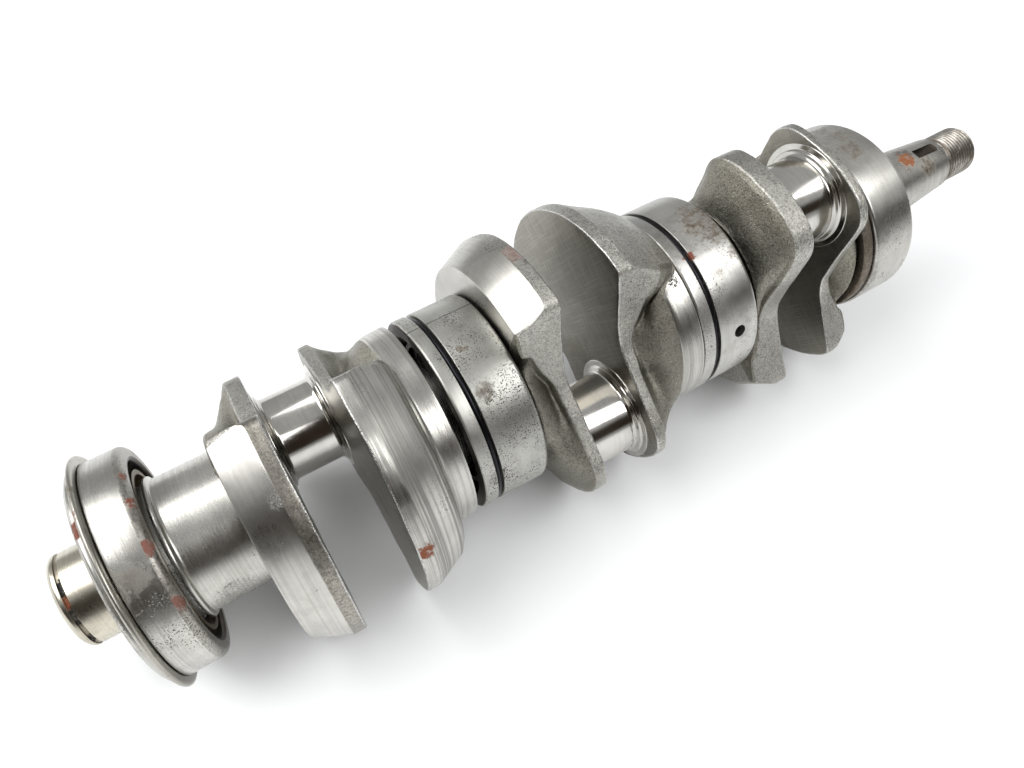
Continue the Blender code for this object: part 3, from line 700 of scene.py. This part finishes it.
def web(number, pin_x, side, throw_angle):
    """One web, from the cheek at its crankpin out to the journal on the given side."""
    outline = web_outline()
    radius = np.linalg.norm(outline, axis=1)
    angle = np.abs(np.degrees(np.arctan2(outline[:, 1], outline[:, 0])))
    machined = number in MACHINED_WEBS
    if number in PLAIN_SIZES:
        sections = plain_sections(radius, angle, PLAIN_SIZES[number])
    else:
        sections = disc_sections(radius, angle, machined)
    crisp = smoothstep(angle, SHOULDER_ANGLE - 4.0, SHOULDER_ANGLE)[:, None] * machined
    setbacks = [lerp(a, b, crisp) for a, b in zip(FORGED_SETBACKS, TURNED_SETBACKS)]
    columns, source = refined(rounded(sections, setbacks), WEB_SPANS)
    corner = np.array([CORNER_OF_COLUMN[index] for index in source])
    phi = np.arctan2(outline[:, 1], outline[:, 0])[:, None] + math.radians(throw_angle)
    x = pin_x + side * (PIN_GAP / 2.0 + columns[:, :, 1])
    verts = np.stack([x, columns[:, :, 0] * np.cos(phi), columns[:, :, 0] * np.sin(phi)], axis=2)
    verts = uneven(verts, web_unevenness(number, corner, angle, columns))
    faces = grid_faces(*columns.shape[:2], True)
    if side < 0:
        faces = [face[::-1] for face in faces]
    slots = [web_slot(number, index, station) for station in angle for index in source[:-1]]
    materials = (FORGED, COARSE_TURNED if number == 2 else TURNED, GROUND, EDGE, LAND_SKIN,
                 DISC_STEEL, SHADE_PAINTED_STEEL, WORN_LAND_AND_REFLECTION)
    return add_mesh(f"web_{number}", verts.reshape(-1, 3), faces, materials, slots,
                    "crankshaft", stands_for=number == 1, sharp=38.0)


LOW_STEP = 17.3                     # radii of the two steps between a crankpin and a cheek
HIGH_STEP = 19.8


def pins():
    """Three crankpins, each stepped up to both of its cheeks."""
    half = PIN_GAP / 2.0
    steps = ((half + 1.0, HIGH_STEP), (half - 0.35, HIGH_STEP), (half - 0.55, LOW_STEP + 0.3),
             (half - 1.2, LOW_STEP), (half - 2.0, PIN_RADIUS))
    setbacks = (0.0, 0.3, 0.4, 0.3, 1.0, 1.0, 0.3, 0.4, 0.3, 0.0)
    for number, (x, angle) in enumerate(zip(PINS, THROW_ANGLES), start=1):
        profile = ([(x - away, radius) for away, radius in steps]
                   + [(x + away, radius) for away, radius in reversed(steps)])
        lathe(f"crankpin_{number}", profile, setbacks, (0,) * 9, (PIN_STEEL,), "crankshaft",
              segments=96, axis=on_shaft(x, THROW, angle)[1:], stands_for=False)


WEB_REACH = 12.0                    # from a centre journal's end to the next web's cheek


def forging():
    """The six webs, the crankpins and the journals under the centre bearings."""
    for index, (x, angle) in enumerate(zip(PINS, THROW_ANGLES)):
        web(2 * index + 1, x, -1.0, angle)
        web(2 * index + 2, x, 1.0, angle)
    pins()
    for number, start in enumerate((PINS[0] + DISC_FACE, PINS[1] + DISC_FACE), start=1):
        end = start + PITCH - DISC_FACE - PIN_GAP / 2.0 - WEB_REACH
        lathe(f"centre_journal_{number}", [(start, MAIN_RADIUS), (end, MAIN_RADIUS)],
              (0.0, 0.0), (0,), (JOURNAL,), "crankshaft", stands_for=False)


GROOVE_RADIUS = 14.4
SEAT_RADIUS = 17.1                  # under the lower bearing's inner race
COLLAR_RADIUS = 24.1
FIRST_WEB = 56.5                    # where the lower journal runs into web 1


def drive_end():
    """Stub, its groove, the lower bearing's seat and collar, and the lower journal."""
    left, right = node_span("lower_inner_race")
    profile = [(0.0, 0.0), (0.0, 3.2), (0.0, 13.6), (1.3, STUB_RADIUS), (2.5, STUB_RADIUS),
               (2.5, GROOVE_RADIUS), (3.7, GROOVE_RADIUS), (3.7, STUB_RADIUS),
               (left - 0.2, STUB_RADIUS), (left, SEAT_RADIUS), (right + 0.1, SEAT_RADIUS),
               (right + 0.1, COLLAR_RADIUS), (right + 1.5, COLLAR_RADIUS),
               (right + 2.0, LOWER_JOURNAL), (FIRST_WEB, LOWER_JOURNAL)]
    setbacks = (0.0, 0.0, 0.6, 0.6, 0.15, 0.15, 0.15, 0.15, 0.2, 0.5, 0.2, 0.4, 0.6, 0.8, 0.0)
    slots = (0, 0, 0, 0, 1, 1, 1, 0, 0, 0, 2, 2, 2, 2)
    lathe("drive_stub", profile, setbacks, slots, (STUB_STEEL, GROOVE_STEEL, JOURNAL),
          "crankshaft", segments=144, stands_for=False)


THREAD = (364.4, 379.4)             # where the thread starts and ends
THREAD_RADIUS = 10.0
THREAD_PITCH = 1.5
THREAD_STEP = 0.16                  # between the thread's rings of vertices
THREAD_SEGMENTS = 72
RELIEF_RADIUS = 9.1                 # between taper and thread
SHOULDER_RADIUS = 15.4              # cylinder before the taper


def thread():
    """Helical thread as a height field round the shaft, running out at both ends."""
    start, end = THREAD
    along = int((end - start) / THREAD_STEP)
    xs = np.linspace(start, end, along)
    angles = np.linspace(0.0, 2.0 * math.pi, THREAD_SEGMENTS, endpoint=False)
    phase = (xs[None, :] / THREAD_PITCH - angles[:, None] / (2.0 * math.pi)) % 1.0
    wave = np.clip(np.abs(phase - 0.5) * 2.4 - 0.1, 0.0, 1.0)
    runout = smoothstep(xs, end - 1.2, end + 0.4)
    fade = np.minimum(smoothstep(xs, start, start + THREAD_PITCH), 1.0 - runout)[None, :]
    r = THREAD_RADIUS - 0.62 * THREAD_PITCH * (1.0 - wave) * fade - 0.6 * (1.0 - fade)
    verts = np.stack([np.broadcast_to(xs, r.shape), r * np.cos(angles)[:, None],
                      r * np.sin(angles)[:, None]], axis=2)
    slots = (r[:, :-1] < THREAD_RADIUS - 0.45).astype(int).ravel()
    add_mesh("end_thread", verts.reshape(-1, 3), grid_faces(THREAD_SEGMENTS, along, True),
             (TAIL_STEEL, DULL_STEEL), slots, "crankshaft", stands_for=False, sharp=60.0)


def flywheel_end():
    """Upper journal from inside the last web, taper with its keyway, and the thread."""
    start = PINS[2] + PIN_GAP / 2.0 + 8.0
    collar = node_span("upper_outer_race")[1] + 1.5
    profile = [(start, 0.0), (start, MAIN_RADIUS), (collar, MAIN_RADIUS),
               (collar, SHOULDER_RADIUS), (325.4, SHOULDER_RADIUS), (326.6, 14.3), (362.4, 10.8),
               (362.4, RELIEF_RADIUS), (364.4, RELIEF_RADIUS), (364.6, 9.4), (364.6, 0.0)]
    setbacks = (0.0, 0.0, 0.8, 1.0, 0.8, 0.6, 0.4, 0.5, 0.3, 0.0, 0.0)
    slots = (1, 1, 1, 0, 0, 0, 0, 0, 0, 0)
    tail = lathe("flywheel_taper", profile, setbacks, slots, (TAIL_STEEL, JOURNAL),
                 "crankshaft", segments=144, stands_for=False)
    cap = [(379.2, 9.4), (380.1, 8.6), (380.1, 3.0), (377.5, 0.0)]
    lathe("thread_end_cap", cap, (0.0, 0.4, 0.4, 0.0), (0,), (TAIL_STEEL,), "crankshaft",
          segments=72, stands_for=False)
    thread()
    cut_keyway(tail)


KEY_RADIUS = 11.0                   # of the Woodruff key's round side
KEY_HALF_WIDTH = 2.2
KEY_DEPTH = 2.6                     # below the taper, whose radius is 12.3 there
KEY_PLACE = (354.4, 12.3 - KEY_DEPTH + KEY_RADIUS)  # its middle along X, and from the axis
KEY_ANGLE = 96.0
KEY_SEGMENTS = 48


def cut_keyway(tail):
    """Open slot of a Woodruff key, cut into the taper."""
    ring = on_circle(KEY_RADIUS, [360.0 * i / KEY_SEGMENTS for i in range(KEY_SEGMENTS)])
    verts = [(x, y, z) for z in (-KEY_HALF_WIDTH, KEY_HALF_WIDTH) for x, y in ring]
    faces = [tuple(range(KEY_SEGMENTS))[::-1], tuple(range(KEY_SEGMENTS, 2 * KEY_SEGMENTS))]
    for index in range(KEY_SEGMENTS):
        after = (index + 1) % KEY_SEGMENTS
        faces.append((index, after, KEY_SEGMENTS + after, KEY_SEGMENTS + index))
    mesh = bpy.data.meshes.new("keyway_cutter")
    mesh.from_pydata(verts, [], faces)
    # Painted shade: the keyway's cut faces take the near-black steel, darkening the slot.
    mesh.materials.append(SHADE_PAINTED_STEEL)
    place = (Matrix.Rotation(math.radians(KEY_ANGLE), 4, "X")
             @ Matrix.Translation((*KEY_PLACE, 0.0)))
    mesh.transform(Matrix.Scale(MM, 4) @ place)
    cutter = bpy.data.objects.new("keyway_cutter", mesh)
    bpy.context.scene.collection.objects.link(cutter)
    shell = bmesh.new()
    shell.from_mesh(tail.data)
    bmesh.ops.remove_doubles(shell, verts=shell.verts, dist=0.001 * MM)
    shell.to_mesh(tail.data)
    shell.free()
    subtract(tail, cutter, "TRANSFER")


# --- Bearings ---

LOWER_RADIUS = 36.0
RACE_RADIUS = 35.0                  # of the centre and upper races
RACE_BORE = 30.0


def lower_bearing():
    """Outer race with its locating ring in a groove, and the inner race on its seat."""
    left, right = node_span("lower_outer_race")
    seat, flange = node_span("lower_locating_ring")
    profile = [(left, 31.2), (left, 34.6), (left + 1.0, LOWER_RADIUS),
               (seat - 0.3, LOWER_RADIUS), (seat - 0.3, 34.3), (flange + 0.3, 34.3),
               (flange + 0.3, LOWER_RADIUS), (right - 1.5, LOWER_RADIUS), (right, 34.6),
               (right, 31.2), (right - 0.8, 30.6), (right - 4.0, 30.6), (left + 4.0, 30.6),
               (left + 0.8, 30.6)]
    setbacks = (0.3, 0.6, 0.8, 0.2, 0.2, 0.2, 0.2, 1.0, 1.0, 0.6, 0.3, 0.3, 0.3, 0.3)
    # Slot 2, the bore, takes the near-black steel: painted shade inside the bearing.
    slots = (1, 1, 0, 0, 1, 0, 0, 1, 1, 2, 2, 2, 2, 2)
    lathe("lower_outer_race_worn", profile, setbacks, slots,
          (LOWER_STEEL, RIM_STEEL, SHADE_PAINTED_STEEL), "lower_outer_race", segments=160, closed=True)
    profile = [(seat, 34.7), (seat, 38.2), (seat + 0.9, 39.0), (flange - 0.3, 38.6), (flange, 37.6),
               (flange, 34.7)]
    lathe("lower_locating_ring_worn", profile, (0.0, 0.8, 0.8, 0.5, 0.6, 0.0), (0,),
          (LOCATING_STEEL,), "lower_locating_ring", segments=160, closed=True)
    inner_left, inner_right = node_span("lower_inner_race")
    profile = [(inner_left, 17.6), (inner_left, 22.4), (inner_right, 22.4), (inner_right, 17.6)]
    lathe("lower_inner_race_worn", profile, (0.4, 0.6, 0.6, 0.4), (0,), (RACE_STEEL,),
          "lower_inner_race", segments=128, closed=True)


def rolling_elements():
    """A round mesh for every ball and roller."""
    for node in sorted(frame["nodes"]):
        low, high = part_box(node)
        centre = [(a + b) / 2.0 / MM for a, b in zip(low, high)]
        half = (high[0] - low[0]) / 2.0 / MM
        if "_ball_" in node:
            arc = np.linspace(0.02, math.pi - 0.02, 19)
            profile = [(centre[0] - half * math.cos(a), half * math.sin(a)) for a in arc]
            lathe(f"{node}_round", profile, (0.0,) * 19, (0,), (BALL_STEEL,), node, segments=32,
                  axis=centre[1:], sharp=60.0)
        elif "_roller_" in node:
            radius = (high[1] - low[1]) / 2.0 / MM
            profile = [(centre[0] - half, 0.01), (centre[0] - half, radius),
                       (centre[0] + half, radius), (centre[0] + half, 0.01)]
            # Painted shade: the centre rollers, seen only through the dark gap beside the races,
            # take the near-black steel; the other rollers stay bright.
            steel = SHADE_PAINTED_STEEL if "centre" in node else BALL_STEEL
            lathe(f"{node}_round", profile, (0.0, 0.5, 0.5, 0.0), (0,), (steel,), node,
                  segments=32, axis=centre[1:])


def fracture(x):
    """Angle in degrees by which the break of a split race wanders, at a place along X."""
    broad = noise.noise(Vector((x * 0.35, 3.1, 0.7)))
    fine = noise.noise(Vector((x * 1.7, 9.0, 2.0)))
    return 0.9 * broad + 0.35 * fine


HALF_SEGMENTS = 90
HALF_CLEARANCE = 0.24               # degrees left open at each end of a race half
WIRE_GROOVE = (4.7, 6.9)            # retaining ring's groove, from the race's left face
WIRE_GROOVE_RADIUS = 32.6


def race_half(number, half, start):
    """Half of a split centre race, its ends following the same ragged break."""
    node = f"centre_{number}_race_half_{half}"
    steel = RACE_STEEL if number == 1 else STAINED_RACE_STEEL
    left, right = node_span(f"centre_{number}_race_half_a")
    grooved = [left + edge for edge in WIRE_GROOVE]
    profile = [(left, RACE_BORE), (left, 34.5), (left + 0.5, RACE_RADIUS),
               (grooved[0], RACE_RADIUS), (grooved[0], WIRE_GROOVE_RADIUS),
               (grooved[1], WIRE_GROOVE_RADIUS), (grooved[1], RACE_RADIUS),
               (right - 0.9, RACE_RADIUS), (right, 34.3), (right, RACE_BORE), (left, RACE_BORE)]
    setbacks = (0.0, 0.3, 0.4, 0.25, 0.2, 0.2, 0.25, 0.6, 0.5, 0.0, 0.0)
    columns = rounded(np.array([profile]), setbacks)[0]
    verts = []
    for segment in range(HALF_SEGMENTS + 1):
        share = segment / HALF_SEGMENTS
        for x, radius in columns:
            wander = fracture(x) * (1.0 - min(share, 1.0 - share) * 2.0) ** 3
            angle = start + 180.0 * share + wander + HALF_CLEARANCE * (1.0 - 2.0 * share)
            verts.append(on_shaft(x, radius, angle))
    faces = grid_faces(HALF_SEGMENTS + 1, len(columns), False)
    count = len(columns) - 1
    last = HALF_SEGMENTS * len(columns)
    faces += [tuple(range(count))[::-1], tuple(range(last, last + count))]
    # Painted shade: the race's side faces, bore and break faces take the near-black steel, so the
    # gap beside the disc reads dark.
    shade_painted_spans = [int(column < 3 or column >= count - 3) for column in range(count)]
    slots = shade_painted_spans * HALF_SEGMENTS + [1, 1]
    return add_mesh(f"{node}_worn", verts, faces, (steel, SHADE_PAINTED_STEEL), slots, node, sharp=30.0)


def retaining_ring(number):
    """Blacked wire in the groove of a centre race."""
    node = f"centre_{number}_retaining_ring"
    left, right = node_span(node)
    middle = (left + right) / 2.0
    arc = np.linspace(0.0, 2.0 * math.pi, 12, endpoint=False)
    profile = [(middle + (right - left) / 2.0 * math.cos(a), 33.65 + 0.72 * math.sin(a))
               for a in arc]
    lathe(f"{node}_wire", profile, (0.0,) * 12, (0,), (BLACK_STEEL,), node, segments=160,
          closed=True, sharp=60.0)


def drill(obj, x, angle):
    """Cut the locating dowel's hole through a race half."""
    bpy.ops.mesh.primitive_cylinder_add(vertices=40, radius=2.3 * MM, depth=14.0 * MM)
    cutter = bpy.context.object
    turn = Matrix.Rotation(math.radians(angle), 4, "X")
    upright = Matrix.Rotation(math.radians(90.0), 4, "X")
    cutter.matrix_world = turn @ Matrix.Translation((x * MM, 34.0 * MM, 0.0)) @ upright
    bpy.context.view_layer.update()
    subtract(obj, cutter)


SPLIT_ANGLES = (72.0, 212.0)        # where the break of each centre race starts
DOWEL_HOLE = (15.2, -50.0)          # from the race's left face, and from the break


def centre_bearings():
    """Two split races, each drilled for a dowel, with their retaining rings."""
    for number, turn in enumerate(SPLIT_ANGLES, start=1):
        race_half(number, "a", turn)
        half = race_half(number, "b", turn + 180.0)
        left = node_span(f"centre_{number}_race_half_a")[0]
        drill(half, left + DOWEL_HOLE[0], turn + DOWEL_HOLE[1])
        retaining_ring(number)


def upper_bearing():
    """Outer race, and the seal ring beside the last web."""
    left, right = node_span("upper_outer_race")
    profile = [(left, RACE_BORE), (left, 34.4), (left + 0.8, RACE_RADIUS),
               (right - 0.9, RACE_RADIUS), (right, 34.2), (right, RACE_BORE)]
    lathe("upper_outer_race_worn", profile, (0.3, 0.5, 0.6, 0.6, 0.5, 0.3), (0,),
          (UPPER_STEEL,), "upper_outer_race", segments=160, closed=True)
    left, right = node_span("upper_seal_ring")
    profile = [(left, 21.4), (left, 33.2), (left + 0.5, 33.8), (right - 0.5, 33.8),
               (right, 33.2), (right, 21.4)]
    lathe("upper_seal_ring_worn", profile, (0.2, 0.4, 0.4, 0.4, 0.4, 0.2), (0,),
          (DULL_STEEL,), "upper_seal_ring", segments=160, closed=True)


def cages():
    """The CAD cages stay; they get softened edges and worn bronze, except the centre cages, whose
    near-black bronze is painted shade.
    """
    for node, obj in frame["nodes"].items():
        if "cage" in node:
            obj.data.materials.clear()
            obj.data.materials.append(SHADE_PAINTED_BRONZE if "centre" in node else BRONZE)
            bevel = obj.modifiers.new("soft_edges", "BEVEL")
            bevel.width = 0.12 * MM
            bevel.segments = 2
            bevel.limit_method = "ANGLE"
            bevel.angle_limit = math.radians(40.0)


# --- Stage ---

HORIZON = (0.86, 0.865, 0.87)       # what the camera sees past the floor
ROOM = (0.47, 0.475, 0.475)         # what the steel reflects
PERSON = (0.036, 0.026, 0.019)      # dark band in the room, where someone stands
FILL = (0.70, 0.705, 0.70)          # what lights matte surfaces
BAND_START = (121.0, 147.0)         # at the drive end and at the flywheel end
BAND_END = 178.0
BAND_SOFT = 7.0
BAND_NARROWS = (0.08, 0.24)         # X of a direction where the band starts and ends narrowing

FLOOR_SIZE = 6.0                    # metres from the middle to an edge
FLOOR_TOUCHES = ((20.0, -39.2), (285.0, -50.2))     # X and Z of what rests on the floor
FLOOR_FADES = (0.4, 2.4)            # metres over which the floor turns into the horizon

CAMERA_LENS = 27.88
CAMERA_LEAN = 33.0                  # of the whole view, round the crank axis
CAMERA_PLACE = (73.51, 0.0, 268.25)     # before the lean
CAMERA_TURN = (("Z", -28.15), ("Y", -14.853), ("X", 7.267))

LIGHT_AIM = (0.17, 0.0, 0.0)        # metres, like the softboxes' places and sizes
SOFTBOXES = {                       # place, size, power in watts
    "key_softbox": ((-0.38, 0.30, 1.15), (1.15, 0.8), 10.8),
    "left_softbox": ((-0.90, 0.60, 0.82), (0.8, 0.7), 6.5),
    "front_softbox": ((0.70, -0.64, 1.06), (1.15, 0.58), 8.6),
}


def floor():
    """Pale floor, tipped so that the locating ring and the last counterweight both rest on it."""
    mesh = bpy.data.meshes.new("floor")
    signs = ((-1, -1), (1, -1), (1, 1), (-1, 1))
    corners = [(x * FLOOR_SIZE, y * FLOOR_SIZE, 0.0) for x, y in signs]
    mesh.from_pydata(corners, [], [(0, 1, 2, 3)])
    obj = bpy.data.objects.new("floor", mesh)
    bpy.context.scene.collection.objects.link(obj)
    (left, left_z), (right, right_z) = FLOOR_TOUCHES
    obj.location = (left * MM, 0.0, left_z * MM)
    obj.rotation_euler = (0.0, math.atan2(left_z - right_z, right - left), 0.0)
    paint = Shader("pale_floor")
    color = paint.mix(paint.noise(3.0, 2.0), (0.79, 0.80, 0.81), (0.83, 0.835, 0.84))
    away = paint.nodes.new("ShaderNodeVectorMath")
    away.operation = "LENGTH"
    paint.feed(away.inputs[0], paint.place)
    far = paint.window(away.outputs["Value"], *FLOOR_FADES)
    seen = paint.nodes.new("ShaderNodeLightPath").outputs["Is Camera Ray"]
    glow = paint.math("MULTIPLY", paint.math("MULTIPLY", far, seen), 0.5)
    paint.feed(paint.bsdf.inputs["Emission Color"], (*HORIZON, 1.0))
    paint.feed(paint.bsdf.inputs["Emission Strength"], glow)
    obj.data.materials.append(paint.done(color, 0.75, None, 0.0))


def camera():
    """High view from the drive end, leaning towards the front."""
    data = bpy.data.cameras.new("camera")
    data.sensor_width = 36.0
    data.lens = CAMERA_LENS
    data.clip_start = 0.01
    obj = bpy.data.objects.new("camera", data)
    bpy.context.scene.collection.objects.link(obj)
    lean = Matrix.Rotation(math.radians(CAMERA_LEAN), 4, "X")
    obj.matrix_world = lean @ Matrix.Translation(Vector(CAMERA_PLACE) * MM)
    for axis, angle in CAMERA_TURN:
        obj.matrix_world = obj.matrix_world @ Matrix.Rotation(math.radians(angle), 4, axis)
    bpy.context.scene.camera = obj


def softbox(name, place, size, power):
    """Rectangular light that faces the part."""
    data = bpy.data.lights.new(name, "AREA")
    data.shape = "RECTANGLE"
    data.size, data.size_y = size
    data.energy = power
    obj = bpy.data.objects.new(name, data)
    obj.location = place
    direction = Vector(LIGHT_AIM) - Vector(place)
    obj.rotation_euler = direction.to_track_quat("-Z", "Y").to_euler()
    bpy.context.scene.collection.objects.link(obj)


def dark_band(sky):
    """1 in the dark band of the room, 0 elsewhere; the band is narrower towards +X."""
    split = sky.nodes.new("ShaderNodeSeparateXYZ")
    sky.feed(split.inputs[0], sky.nodes.new("ShaderNodeTexCoord").outputs["Generated"])
    turn = sky.math("ARCTAN2", split.outputs["Z"], split.outputs["Y"])
    right = sky.window(split.outputs["X"], *BAND_NARROWS)
    late = sky.math("MULTIPLY", right, math.radians(BAND_START[1] - BAND_START[0]))
    past = sky.math("SUBTRACT", turn, late)
    start, end, soft = (math.radians(a) for a in (BAND_START[0], BAND_END, BAND_SOFT))
    opens = sky.window(past, start - soft, start + soft)
    closes = sky.window(turn, end - soft, end)
    return sky.math("SUBTRACT", opens, closes)


def studio():
    """Pale room with a dark band where a person stands, and wide softboxes overhead."""
    world = bpy.data.worlds.new("studio")
    bpy.context.scene.world = world
    world.use_nodes = True
    sky = Graph(world.node_tree)
    path = sky.nodes.new("ShaderNodeLightPath").outputs
    color = sky.mix(dark_band(sky), ROOM, PERSON)
    color = sky.mix(path["Is Diffuse Ray"], color, FILL)
    color = sky.mix(path["Is Camera Ray"], color, HORIZON)
    sky.feed(sky.nodes["Background"].inputs["Color"], color)
    for name, (place, size, power) in SOFTBOXES.items():
        softbox(name, place, size, power)


forging()
drive_end()
flywheel_end()
lower_bearing()
centre_bearings()
upper_bearing()
rolling_elements()
cages()
floor()
camera()
studio()
bpy.context.scene.view_settings.view_transform = "Standard"
